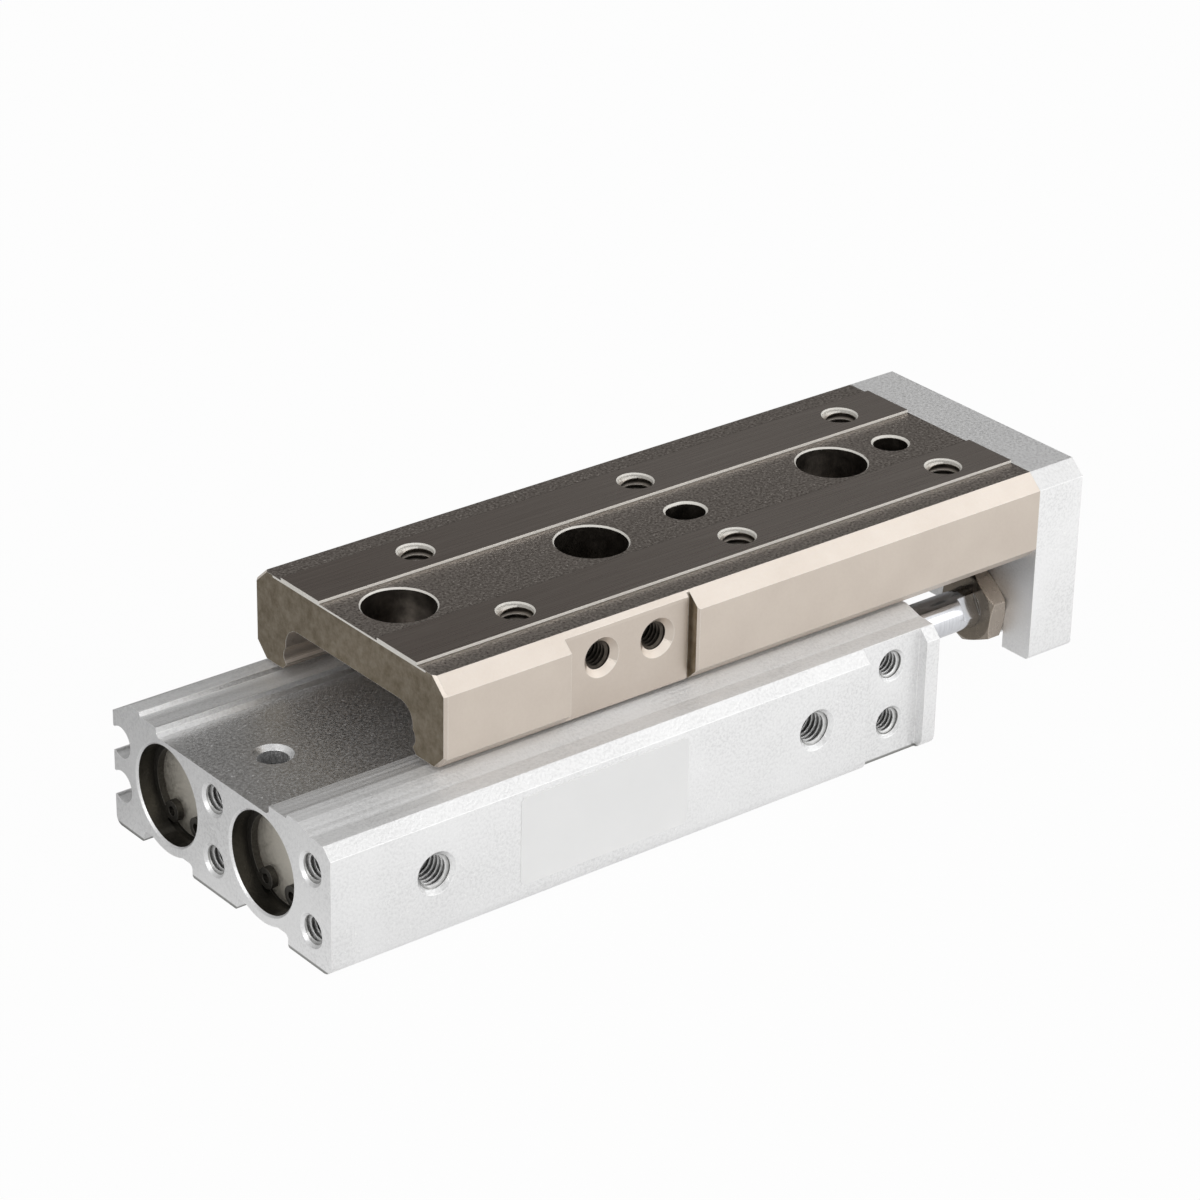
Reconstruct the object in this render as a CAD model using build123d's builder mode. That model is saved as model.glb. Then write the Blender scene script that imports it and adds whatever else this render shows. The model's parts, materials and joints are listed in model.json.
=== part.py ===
from build123d import *
import math
import os

# Pneumatic slide table with two rods, in millimetres.
# X runs along the travel, from the head caps to the end plate. Z is up.
# The origin lies on the base plane, on the slide's centreline, half way along the body.
# The near side (-Y) has the air ports, the far side (+Y) has the switch grooves.

# Travel
STROKE = 50.0
REST_EXTENSION = 20.3
TABLE_SETBACK = 1.3
NUT_ENTRY = 0.4
BUMPER_GAP = 0.2

# Body: an extruded bar with a stepped top
BODY_BEYOND_STROKE = 53.0
BODY_NEAR = 26.45
BODY_FAR = 23.55
FLOOR_HALF_WIDTH = 12.4
FLOOR_HEIGHT = 17.6
FLOOR_FILLET = 0.5
LEDGE_INNER = 13.0
LEDGE_HEIGHT = 18.9
RIDGE_INNER = 16.8
RIDGE_STEP = 0.25
RIDGE_OUTER = 19.4
RIDGE_HEIGHT = 19.5
FAR_SHOULDER_HEIGHT = 17.1
NEAR_SLOPE_RUN = 2.8
NEAR_SHOULDER_HEIGHT = 18.65
NEAR_SHOULDER_DROP = 0.15
NEAR_CHAMFER = 1.6
NEAR_FOOT_RADIUS = 1.8
FAR_FOOT_RADIUS = 1.2

# Two cylinder bores side by side
BORE_RADIUS = 6.0
BORE_OFFSET = 11.0
BORE_HEIGHT = 9.6
MOUTH_RADIUS = 7.1
REAR_MOUTH_DEPTH = 6.2
FRONT_MOUTH_DEPTH = 10.0
MOUTH_CHAMFER = 0.3
CIRCLIP_INSET = 2.6
CIRCLIP_THICKNESS = 1.0
CIRCLIP_GROOVE_DEPTH = 0.5
CIRCLIP_BAND = 1.5
CIRCLIP_LUG_RADIUS = 1.5
CIRCLIP_LUG_ANGLE = 33.0
CIRCLIP_HOLE_RADIUS = 0.7

# Hollow under each bore
UNDERCUT_HALF_WIDTH = 5.8
UNDERCUT_HEIGHT = 1.8
UNDERCUT_FILLET = 0.7
UNDERCUT_EDGE = 0.4
BORE_WALL = 2.55

# Switch grooves along the far side
GROOVE_RADIUS = 2.3
GROOVE_DEPTH = 4.05
GROOVE_MOUTH = 3.7
GROOVE_PITCH = 6.7

# Threads are cut at their major radius
M2_RADIUS = 1.0
M3_RADIUS = 1.5
M4_RADIUS = 2.0
M5_RADIUS = 2.5
M6_RADIUS = 3.0
M4_MOUTH = 2.45
M5_MOUTH = 2.7

# Body holes on the centreline, measured from the rear face or from the front face
REAR_FIXING_X = 9.6
MIDDLE_FIXING_X = 41.8
FRONT_FIXING_X = 17.85
FIXING_THREAD_DEPTH = 8.0
FIXING_RADIUS = 2.15
FIXING_MOUTH = 2.8

# Air ports on the near side
REAR_PORT_X = 16.5
FRONT_PORT_X = 22.2
PORT_MOUTH = 3.1
PORT_THREAD_DEPTH = 6.0
AIRWAY_RADIUS = 1.5

# Threaded holes in the rear face
REAR_TAP_HEIGHT = 9.4
REAR_TAP_PITCH_Y = 22.0
REAR_TAP_PITCH_Z = 9.0
REAR_TAP_DEPTH = 6.0

# Stop bracket seat, milled into the near side of the body at the front
BODY_SEAT_LENGTH = 10.6
BODY_SEAT_RIB = 2.3
SEAT_DEPTH = 1.6
BODY_SEAT_TAP_X = 5.0
BODY_SEAT_TAP_HEIGHT = 9.8
BODY_SEAT_TAP_PITCH = 8.8
SEAT_TAP_DEPTH = 5.0

# Blank label on the near side
LABEL_X = 30.0
LABEL_LENGTH = 28.0
LABEL_HEIGHT = 13.0
LABEL_BOTTOM = 3.0
LABEL_THICKNESS = 0.1
LABEL_CORNER = 0.8

# Head caps
CAP_FIT = 0.04
CAP_PLUG_LENGTH = 5.0
O_RING_SECTION = 0.85
O_RING_SQUEEZE = 0.05
REAR_BUMPER_LENGTH = 2.1
BUMPER_RADIUS = 4.4

# Pistons
PISTON_LENGTH = 14.5
PISTON_NOSE_LENGTH = 4.9
PISTON_NOSE_RADIUS = 4.25
PISTON_CLEARANCE = 0.08
PISTON_SEAL_WIDTH = 2.0
PISTON_SEAL_DEPTH = 1.3
SEAL_CLEARANCE = 0.03
MAGNET_WIDTH = 3.0
MAGNET_DEPTH = 2.0
PISTON_RING_GAP = 1.2

# Piston rods, nuts and bushes
ROD_RADIUS = 3.0
ROD_TENON_RADIUS = 2.0
ROD_CLEARANCE = 0.05
FLATS_LENGTH = 3.2
FLATS_ACROSS = 5.0
FLATS_TURN = 150.0
NUT_THICKNESS = 3.0
NUT_ACROSS = 10.0
NEAR_NUT_TURN = 38.0
FAR_NUT_TURN = 37.0
ROD_END_INSET = 0.8
THREAD_FIT = 0.02
BUSH_RADIUS = 4.1
BUSH_CLEARANCE = 0.1
BUSH_FLANGE_RADIUS = 5.2
BUSH_FLANGE_THICKNESS = 2.2
BUSH_SLOT_WIDTH = 1.2
BUSH_SLOT_DEPTH = 1.0

# Rod covers
FRONT_BUMPER_LENGTH = 5.4
ROD_SEAL_RADIUS = 5.1
ROD_SEAL_LENGTH = 4.0

# Table: a steel channel that rides over the guide
TABLE_HALF_WIDTH = 21.35
TABLE_TOP = 33.2
TABLE_LEG_BOTTOM = 20.1
TOP_CHAMFER_WIDTH = 2.33
TOP_CHAMFER_HEIGHT = 2.11
LEG_CHAMFER = 1.9
PAD_INNER = 6.5
PAD_OUTER = 15.2
PAD_RISE = 0.4
CHANNEL_HALF_WIDTH = 14.3
CHANNEL_CEILING = 26.85
CHANNEL_FILLET = 2.8
LEG_LEAD_IN = 0.8
TABLE_END_CHAMFER = 0.4

# Table holes, measured from the table's rear face
TABLE_TAP_X = 19.05
TABLE_TAP_PITCH_X = 38.0
TABLE_TAP_PITCH_Y = 22.0
ACCESS_RADIUS = 5.1
ACCESS_CHAMFER = 0.2
DOWEL_RADIUS = 2.5
DOWEL_DEPTH = 5.0
DOWEL_SLOT_LENGTH = 5.8
DOWEL_CHAMFER = 0.3
TABLE_SEAT_X = 20.4
TABLE_SEAT_LENGTH = 21.35
TABLE_SEAT_RELIEF = 0.5
TABLE_SEAT_EDGE = 0.3
TABLE_SEAT_TAP_X = 6.25
TABLE_SEAT_TAP_PITCH = 9.4
TABLE_SEAT_TAP_HEIGHT = 28.0
TABLE_SEAT_TAP_MOUTH = 2.9

# Linear guide: a steel block on the body floor with two runs of balls
BALL_RADIUS = 1.5
BALL_GAP = 0.2
BALL_ROW_OFFSET = 13.3
BALL_ROW_HEIGHT = 22.3
BALL_CLEARANCE = 0.05
RETURN_OFFSET = 9.1
RETURN_CLEARANCE = 0.1
BLOCK_HALF_WIDTH = 12.3
BLOCK_HEIGHT = 8.8
BLOCK_CHAMFER = 0.5
BLOCK_COVER = 1.7
BLOCK_FRONT_INSET = 2.5
RETURN_CAP_LENGTH = 4.0
RETURN_CAP_HALF_WIDTH = 13.7
RETURN_CAP_FOOT = 19.3
RETURN_CAP_CHAMFER = 1.0
RETURN_CAP_SCREW_Y = 4.0
BLOCK_SCREW_X = 5.5
BLOCK_SCREW_PITCH = 13.5
BLOCK_SCREW_REACH = 7.0
SCREW_HOLE_FIT = 0.2
HEAD_FIT = 0.25
RETAINER_THICKNESS = 1.4
RETAINER_GAP = 0.05
RETAINER_HEIGHT = 4.8
RETAINER_SLOT = 3.2

# End plate
PLATE_THICKNESS = 8.3
PLATE_BOTTOM = 4.2
PLATE_LEG_INNER = 15.85
PLATE_NOTCH_HEIGHT = 6.8
PLATE_LOBE_RADIUS = 5.2
PLATE_FOOT_RADIUS = 0.8
PLATE_SCREW_Y = 17.4
PLATE_SCREW_HEIGHT = 27.2
PLATE_INNER_SCREW_Y = 5.5
PLATE_INNER_SCREW_HEIGHT = 30.0
PLATE_SCREW_REACH = 6.0
PLATE_TAP_PITCH_Y = 16.0
PLATE_TAP_PITCH_Z = 6.0
PLATE_TAP_HEIGHT = 20.6

# Cap screw heads, as shares of the thread's diameter
HEAD_RADIUS_SHARE = 0.875
SOCKET_SHARE = 0.75

# Stations along X
BODY_LENGTH = STROKE + BODY_BEYOND_STROKE
REAR = -BODY_LENGTH / 2
FRONT = BODY_LENGTH / 2
TABLE_REAR = REAR + TABLE_SETBACK + REST_EXTENSION
TABLE_FRONT = FRONT - NUT_ENTRY + NUT_THICKNESS + REST_EXTENSION
TABLE_LENGTH = TABLE_FRONT - TABLE_REAR
PLATE_FRONT = TABLE_FRONT + PLATE_THICKNESS
CAP_REAR = REAR + CIRCLIP_INSET + CIRCLIP_THICKNESS
CAP_SHOULDER = REAR + REAR_MOUTH_DEPTH
CAP_FRONT = CAP_SHOULDER + CAP_PLUG_LENGTH
PISTON_REAR = CAP_FRONT + REAR_BUMPER_LENGTH + BUMPER_GAP + REST_EXTENSION
PISTON_FRONT = PISTON_REAR + PISTON_LENGTH
FRONT_BUMPER_REAR = PISTON_FRONT - REST_EXTENSION + STROKE + BUMPER_GAP
COVER_REAR = FRONT_BUMPER_REAR + FRONT_BUMPER_LENGTH
COVER_SHOULDER = FRONT - FRONT_MOUTH_DEPTH
COVER_FRONT = FRONT - CIRCLIP_INSET - CIRCLIP_THICKNESS
RETURN_CAP_REAR = REAR + TABLE_SETBACK + STROKE + BLOCK_COVER
BLOCK_REAR = RETURN_CAP_REAR + RETURN_CAP_LENGTH
BLOCK_FRONT = FRONT - BLOCK_FRONT_INSET - RETURN_CAP_LENGTH
BLOCK_LENGTH = BLOCK_FRONT - BLOCK_REAR
BLOCK_TOP = FLOOR_HEIGHT + BLOCK_HEIGHT
FIXING_STATIONS = [REAR + REAR_FIXING_X, REAR + MIDDLE_FIXING_X, FRONT - FRONT_FIXING_X]
PORT_STATIONS = [REAR + REAR_PORT_X, FRONT - FRONT_PORT_X]
BLOCK_SCREW_STATIONS = [BLOCK_REAR + BLOCK_SCREW_X, BLOCK_REAR + BLOCK_SCREW_X + BLOCK_SCREW_PITCH]
PAD_TOP = TABLE_TOP + PAD_RISE
SIDES = {"near": -1, "far": 1}

# Faces that holes are drilled from, each with its Z axis out of the material
BASE_FACE = Plane(origin=(0, 0, 0), x_dir=(1, 0, 0), z_dir=(0, 0, -1))
FLOOR_FACE = Plane.XY.offset(FLOOR_HEIGHT)
NEAR_FACE = Plane(origin=(0, -BODY_NEAR, 0), x_dir=(1, 0, 0), z_dir=(0, -1, 0))
BODY_SEAT_FACE = Plane(origin=(0, SEAT_DEPTH - BODY_NEAR, 0), x_dir=(1, 0, 0), z_dir=(0, -1, 0))
REAR_FACE = Plane(origin=(REAR, 0, 0), x_dir=(0, -1, 0), z_dir=(-1, 0, 0))
TABLE_NEAR_FACE = Plane(origin=(0, -TABLE_HALF_WIDTH, 0), x_dir=(1, 0, 0), z_dir=(0, -1, 0))
TABLE_SEAT_FACE = Plane(origin=(0, SEAT_DEPTH - TABLE_HALF_WIDTH, 0), x_dir=(1, 0, 0), z_dir=(0, -1, 0))
PLATE_FRONT_FACE = Plane.YZ.offset(PLATE_FRONT)

os.makedirs("parts", exist_ok=True)


def save(piece, name):
    """Label a finished piece and write it under its own name."""
    piece.part.label = name
    export_step(piece.part, f"parts/{name}.step")


def spots(face, points):
    """Places on a face, from pairs of distances along its own two axes."""
    return [face.location * Pos(u, v, 0) for u, v in points]


def bore_axis(side):
    """The centreline of one cylinder."""
    return Axis((0, side * BORE_OFFSET, BORE_HEIGHT), (1, 0, 0))


def turning_plane(side):
    """A plane through one cylinder's axis, for profiles of distance along X and radius."""
    return Plane(origin=(0, side * BORE_OFFSET, BORE_HEIGHT), x_dir=(1, 0, 0), z_dir=(0, -1, 0))


def bore_plane(x, side):
    """A plane square to one cylinder's axis at station x, with its Z axis to the front."""
    return Plane(origin=(x, side * BORE_OFFSET, BORE_HEIGHT), x_dir=(0, 1, 0), z_dir=(1, 0, 0))


def turn(side, profile, mode=Mode.ADD):
    """Turn a closed profile of (station, radius) points about one cylinder's axis."""
    with BuildSketch(turning_plane(side)) as section:
        with BuildLine():
            Polyline(*profile, close=True)
        make_face()
    revolve(section.sketch, axis=bore_axis(side), mode=mode)


def ring(side, start, length, inner, outer, mode=Mode.ADD):
    """A plain ring or disc round one cylinder's axis."""
    end = start + length
    turn(side, [(start, inner), (end, inner), (end, outer), (start, outer)], mode)


def cap_screw(face_plane, places, radius, head_height, shank_length):
    """Socket head cap screws whose heads sit on a face, with their shanks going down from it."""
    with BuildSketch(face_plane) as heads:
        with Locations(*places):
            Circle(2 * radius * HEAD_RADIUS_SHARE)
    extrude(heads.sketch, amount=head_height)
    with BuildSketch(face_plane) as shanks:
        with Locations(*places):
            Circle(radius)
    extrude(shanks.sketch, amount=-shank_length)
    with BuildSketch(face_plane.offset(head_height)) as sockets:
        with Locations(*places):
            RegularPolygon(radius * SOCKET_SHARE, 6, major_radius=False)
    extrude(sockets.sketch, amount=-head_height / 2, mode=Mode.SUBTRACT)


# Cylinder body
with BuildPart() as cylinder_body:
    near_slope_foot = RIDGE_OUTER + NEAR_SLOPE_RUN
    with BuildSketch(Plane.YZ.offset(REAR)):
        with BuildLine():
            Polyline(
                (-BODY_NEAR, 0),
                (BODY_FAR, 0),
                (BODY_FAR, FAR_SHOULDER_HEIGHT),
                (RIDGE_OUTER, RIDGE_HEIGHT),
                (RIDGE_INNER + RIDGE_STEP, RIDGE_HEIGHT),
                (RIDGE_INNER, LEDGE_HEIGHT),
                (LEDGE_INNER, LEDGE_HEIGHT),
                (LEDGE_INNER, FLOOR_HEIGHT + FLOOR_FILLET),
                (FLOOR_HALF_WIDTH, FLOOR_HEIGHT),
                (-FLOOR_HALF_WIDTH, FLOOR_HEIGHT),
                (-LEDGE_INNER, FLOOR_HEIGHT + FLOOR_FILLET),
                (-LEDGE_INNER, LEDGE_HEIGHT),
                (-RIDGE_INNER, LEDGE_HEIGHT),
                (-RIDGE_INNER - RIDGE_STEP, RIDGE_HEIGHT),
                (-RIDGE_OUTER, RIDGE_HEIGHT),
                (-near_slope_foot, NEAR_SHOULDER_HEIGHT),
                (-BODY_NEAR + NEAR_CHAMFER, NEAR_SHOULDER_HEIGHT - NEAR_SHOULDER_DROP),
                (-BODY_NEAR, NEAR_SHOULDER_HEIGHT - NEAR_SHOULDER_DROP - NEAR_CHAMFER),
                close=True,
            )
        outline = make_face()
        fillet(outline.vertices().sort_by_distance((-BODY_NEAR, 0))[0], NEAR_FOOT_RADIUS)
        fillet(vertices().sort_by_distance((BODY_FAR, 0))[0], FAR_FOOT_RADIUS)
        # Hollow under each bore, which leaves an even wall round the bore
        for side in SIDES.values():
            with BuildSketch(mode=Mode.PRIVATE) as undercut:
                with Locations((side * BORE_OFFSET, UNDERCUT_HEIGHT / 2)):
                    hollow = Rectangle(2 * UNDERCUT_HALF_WIDTH, UNDERCUT_HEIGHT)
                fillet(hollow.vertices().group_by(Axis.Y)[-1], UNDERCUT_FILLET)
                with Locations((side * BORE_OFFSET, BORE_HEIGHT)):
                    Circle(BORE_RADIUS + BORE_WALL, mode=Mode.SUBTRACT)
            add(undercut.sketch, mode=Mode.SUBTRACT)
        reach = BORE_OFFSET + UNDERCUT_HALF_WIDTH + 0.01
        foot_edges = vertices().group_by(Axis.Y)[0].filter_by(lambda v: abs(v.X) < reach)
        fillet(foot_edges, UNDERCUT_EDGE)
        # Switch grooves
        for level in (-GROOVE_PITCH / 2, GROOVE_PITCH / 2):
            with Locations((BODY_FAR - GROOVE_DEPTH + GROOVE_RADIUS, BORE_HEIGHT + level)):
                Circle(GROOVE_RADIUS, mode=Mode.SUBTRACT)
                Rectangle(GROOVE_DEPTH, GROOVE_MOUTH, align=(Align.MIN, Align.CENTER), mode=Mode.SUBTRACT)
    extrude(amount=BODY_LENGTH)
    # Bores, their wider mouths and the circlip grooves
    for side in SIDES.values():
        ring(side, REAR, BODY_LENGTH, 0, BORE_RADIUS, Mode.SUBTRACT)
        ring(side, REAR, REAR_MOUTH_DEPTH, 0, MOUTH_RADIUS, Mode.SUBTRACT)
        ring(side, COVER_SHOULDER, FRONT_MOUTH_DEPTH, 0, MOUTH_RADIUS, Mode.SUBTRACT)
        groove_radius = MOUTH_RADIUS + CIRCLIP_GROOVE_DEPTH
        ring(side, REAR + CIRCLIP_INSET, CIRCLIP_THICKNESS, 0, groove_radius, Mode.SUBTRACT)
        ring(side, COVER_FRONT, CIRCLIP_THICKNESS, 0, groove_radius, Mode.SUBTRACT)
        lip = MOUTH_RADIUS + MOUTH_CHAMFER
        turn(side, [(REAR, 0), (REAR, lip), (REAR + lip, 0)], Mode.SUBTRACT)
        turn(side, [(FRONT, 0), (FRONT, lip), (FRONT - lip, 0)], Mode.SUBTRACT)
    # Fixing holes: threaded from below, clear from above
    with Locations(*spots(FLOOR_FACE, [(x, 0) for x in FIXING_STATIONS])):
        CounterSinkHole(FIXING_RADIUS, FIXING_MOUTH, depth=FLOOR_HEIGHT, counter_sink_angle=90)
    with Locations(*spots(BASE_FACE, [(x, 0) for x in FIXING_STATIONS])):
        CounterSinkHole(M5_RADIUS, M5_MOUTH, depth=FIXING_THREAD_DEPTH, counter_sink_angle=90)
    # Air ports, each with a drilling that joins both bores
    with Locations(*spots(NEAR_FACE, [(x, BORE_HEIGHT) for x in PORT_STATIONS])):
        CounterSinkHole(M5_RADIUS, PORT_MOUTH, depth=PORT_THREAD_DEPTH, counter_sink_angle=90)
        Hole(AIRWAY_RADIUS, depth=BODY_NEAR + BORE_OFFSET - BORE_RADIUS / 2)
    # Threaded holes in the rear face, between the bores and beside the near one
    rear_taps = []
    for across in (0, REAR_TAP_PITCH_Y):
        for level in (-REAR_TAP_PITCH_Z / 2, REAR_TAP_PITCH_Z / 2):
            rear_taps.append((across, REAR_TAP_HEIGHT + level))
    with Locations(*spots(REAR_FACE, rear_taps)):
        CounterSinkHole(M4_RADIUS, M4_MOUTH, depth=REAR_TAP_DEPTH, counter_sink_angle=90)
    # Seat for a stop bracket, with its two threaded holes
    seat_front = FRONT - BODY_SEAT_RIB
    with BuildSketch(NEAR_FACE):
        with Locations((seat_front, 0)):
            Rectangle(BODY_SEAT_LENGTH, RIDGE_HEIGHT, align=(Align.MAX, Align.MIN))
    extrude(amount=-SEAT_DEPTH, mode=Mode.SUBTRACT)
    seat_taps = []
    for level in (-BODY_SEAT_TAP_PITCH / 2, BODY_SEAT_TAP_PITCH / 2):
        seat_taps.append((seat_front - BODY_SEAT_TAP_X, BODY_SEAT_TAP_HEIGHT + level))
    with Locations(*spots(BODY_SEAT_FACE, seat_taps)):
        CounterSinkHole(M4_RADIUS, M4_MOUTH, depth=SEAT_TAP_DEPTH, counter_sink_angle=90)
    # Threaded holes for the guide block's screws
    with Locations(*spots(FLOOR_FACE, [(x, 0) for x in BLOCK_SCREW_STATIONS])):
        Hole(M3_RADIUS, depth=BLOCK_SCREW_REACH)
save(cylinder_body, "cylinder_body")

# Blank label
with BuildPart() as rating_label:
    with BuildSketch(NEAR_FACE):
        with Locations((REAR + LABEL_X, LABEL_BOTTOM)):
            RectangleRounded(LABEL_LENGTH, LABEL_HEIGHT, LABEL_CORNER, align=(Align.MIN, Align.MIN))
    extrude(amount=LABEL_THICKNESS)
save(rating_label, "rating_label")

# What each cylinder holds, from the rear to the front
for word, side in SIDES.items():
    mouth_fit = MOUTH_RADIUS - CAP_FIT
    plug_fit = BORE_RADIUS - CAP_FIT
    ring_groove = BORE_RADIUS - 2 * O_RING_SECTION - O_RING_SQUEEZE

    # Head cap with a groove for its ring
    cap_groove_start = CAP_SHOULDER + CAP_PLUG_LENGTH / 2 - O_RING_SECTION - O_RING_SQUEEZE
    cap_groove_end = CAP_SHOULDER + CAP_PLUG_LENGTH / 2 + O_RING_SECTION + O_RING_SQUEEZE
    with BuildPart() as head_cap:
        turn(side, [
            (CAP_REAR, 0),
            (CAP_REAR, mouth_fit),
            (CAP_SHOULDER, mouth_fit),
            (CAP_SHOULDER, plug_fit),
            (cap_groove_start, plug_fit),
            (cap_groove_start, ring_groove),
            (cap_groove_end, ring_groove),
            (cap_groove_end, plug_fit),
            (CAP_FRONT, plug_fit),
            (CAP_FRONT, 0),
        ])
    save(head_cap, f"head_cap_{word}")

    # Rings in the grooves of the head cap and of the rod cover
    cap_groove_middle = (cap_groove_start + cap_groove_end) / 2
    cover_groove_middle = (COVER_REAR + COVER_SHOULDER) / 2
    for place, middle in (("head_cap", cap_groove_middle), ("rod_cover", cover_groove_middle)):
        ring_plane = turning_plane(side)
        with BuildPart() as o_ring:
            with BuildSketch(ring_plane):
                with Locations((middle, BORE_RADIUS - O_RING_SECTION - O_RING_SQUEEZE / 2)):
                    Circle(O_RING_SECTION)
            revolve(axis=bore_axis(side))
        save(o_ring, f"{place}_o_ring_{word}")

    # Circlips at both ends, open at the bottom
    for place, start in (("head_cap", REAR + CIRCLIP_INSET), ("rod_cover", COVER_FRONT)):
        outer = MOUTH_RADIUS + CIRCLIP_GROOVE_DEPTH - CAP_FIT
        inner = outer - CIRCLIP_BAND
        lug_distance = inner - CIRCLIP_LUG_RADIUS / 2
        first_lug = -90 - CIRCLIP_LUG_ANGLE
        with BuildPart() as circlip:
            with BuildSketch(bore_plane(start, side)):
                Circle(outer)
                Circle(inner, mode=Mode.SUBTRACT)
                half_gap = outer * math.tan(math.radians(CIRCLIP_LUG_ANGLE))
                with BuildLine():
                    Polyline((0, 0), (half_gap, -outer), (0, -2 * outer), (-half_gap, -outer), close=True)
                make_face(mode=Mode.SUBTRACT)
                with PolarLocations(lug_distance, 2, start_angle=first_lug, angular_range=4 * CIRCLIP_LUG_ANGLE):
                    Circle(CIRCLIP_LUG_RADIUS)
                    Circle(CIRCLIP_HOLE_RADIUS, mode=Mode.SUBTRACT)
            extrude(amount=CIRCLIP_THICKNESS)
        save(circlip, f"{place}_circlip_{word}")

    # Rubber bumpers that the piston meets at each end
    with BuildPart() as head_bumper:
        ring(side, CAP_FRONT, REAR_BUMPER_LENGTH, 0, BUMPER_RADIUS)
    save(head_bumper, f"head_bumper_{word}")
    with BuildPart() as rod_bumper:
        ring(side, FRONT_BUMPER_REAR, FRONT_BUMPER_LENGTH, ROD_RADIUS + HEAD_FIT, BUMPER_RADIUS)
    save(rod_bumper, f"rod_bumper_{word}")

    # Piston with its nose, seal groove and magnet groove
    land = PISTON_REAR + PISTON_NOSE_LENGTH
    piston_radius = BORE_RADIUS - PISTON_CLEARANCE
    seal_start = land + PISTON_RING_GAP
    seal_end = seal_start + PISTON_SEAL_WIDTH
    magnet_start = seal_end + PISTON_RING_GAP
    magnet_end = magnet_start + MAGNET_WIDTH
    seal_floor = piston_radius - PISTON_SEAL_DEPTH
    magnet_floor = piston_radius - MAGNET_DEPTH
    with BuildPart() as piston:
        turn(side, [
            (PISTON_REAR, ROD_TENON_RADIUS),
            (PISTON_REAR, PISTON_NOSE_RADIUS),
            (land, PISTON_NOSE_RADIUS),
            (land, piston_radius),
            (seal_start, piston_radius),
            (seal_start, seal_floor),
            (seal_end, seal_floor),
            (seal_end, piston_radius),
            (magnet_start, piston_radius),
            (magnet_start, magnet_floor),
            (magnet_end, magnet_floor),
            (magnet_end, piston_radius),
            (PISTON_FRONT, piston_radius),
            (PISTON_FRONT, ROD_TENON_RADIUS),
        ])
    save(piston, f"piston_{word}")
    with BuildPart() as piston_seal:
        ring(side, seal_start, PISTON_SEAL_WIDTH, seal_floor, BORE_RADIUS - SEAL_CLEARANCE)
    save(piston_seal, f"piston_seal_{word}")
    with BuildPart() as piston_magnet:
        ring(side, magnet_start, MAGNET_WIDTH, magnet_floor, piston_radius)
    save(piston_magnet, f"piston_magnet_{word}")

    # Rod: a tenon through the piston, a ground shaft, two wrench flats and a threaded end
    flats_rear = TABLE_FRONT - NUT_THICKNESS - FLATS_LENGTH
    with BuildPart() as piston_rod:
        ring(side, PISTON_REAR, PISTON_LENGTH, 0, ROD_TENON_RADIUS)
        ring(side, PISTON_FRONT, PLATE_FRONT - ROD_END_INSET - PISTON_FRONT, 0, ROD_RADIUS)
        with BuildSketch(bore_plane(flats_rear, side)):
            with PolarLocations(FLATS_ACROSS / 2, 2, start_angle=FLATS_TURN):
                Rectangle(ROD_RADIUS, 2 * ROD_RADIUS, align=(Align.MIN, Align.CENTER))
        extrude(amount=FLATS_LENGTH, mode=Mode.SUBTRACT)
    save(piston_rod, f"piston_rod_{word}")

    # Thin lock nut, chamfered on both faces
    nut_corner = NUT_ACROSS / 2 / math.cos(math.radians(30))
    nut_edge = (nut_corner - NUT_ACROSS / 2) / math.sqrt(3)
    nut_turn = NEAR_NUT_TURN if side < 0 else FAR_NUT_TURN
    nut_rear = TABLE_FRONT - NUT_THICKNESS
    with BuildPart() as rod_nut:
        with BuildSketch(bore_plane(nut_rear, side)):
            RegularPolygon(NUT_ACROSS / 2, 6, major_radius=False, rotation=nut_turn)
            Circle(M6_RADIUS + THREAD_FIT, mode=Mode.SUBTRACT)
        extrude(amount=NUT_THICKNESS)
        turn(side, [
            (nut_rear, 0),
            (nut_rear, NUT_ACROSS / 2),
            (nut_rear + nut_edge, nut_corner),
            (TABLE_FRONT - nut_edge, nut_corner),
            (TABLE_FRONT, NUT_ACROSS / 2),
            (TABLE_FRONT, 0),
        ], Mode.INTERSECT)
    save(rod_nut, f"rod_nut_{word}")

    # Flanged bush that holds the rod end in the plate, slotted for a driver
    with BuildPart() as rod_bush:
        flange_rear = PLATE_FRONT - BUSH_FLANGE_THICKNESS
        bush_bore = M6_RADIUS + THREAD_FIT
        turn(side, [
            (TABLE_FRONT, bush_bore),
            (TABLE_FRONT, BUSH_RADIUS),
            (flange_rear, BUSH_RADIUS),
            (flange_rear, BUSH_FLANGE_RADIUS),
            (PLATE_FRONT, BUSH_FLANGE_RADIUS),
            (PLATE_FRONT, bush_bore),
        ])
        with BuildSketch(bore_plane(PLATE_FRONT, side)):
            Rectangle(3 * BUSH_FLANGE_RADIUS, BUSH_SLOT_WIDTH)
        extrude(amount=-BUSH_SLOT_DEPTH, mode=Mode.SUBTRACT)
    save(rod_bush, f"rod_bush_{word}")

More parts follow.
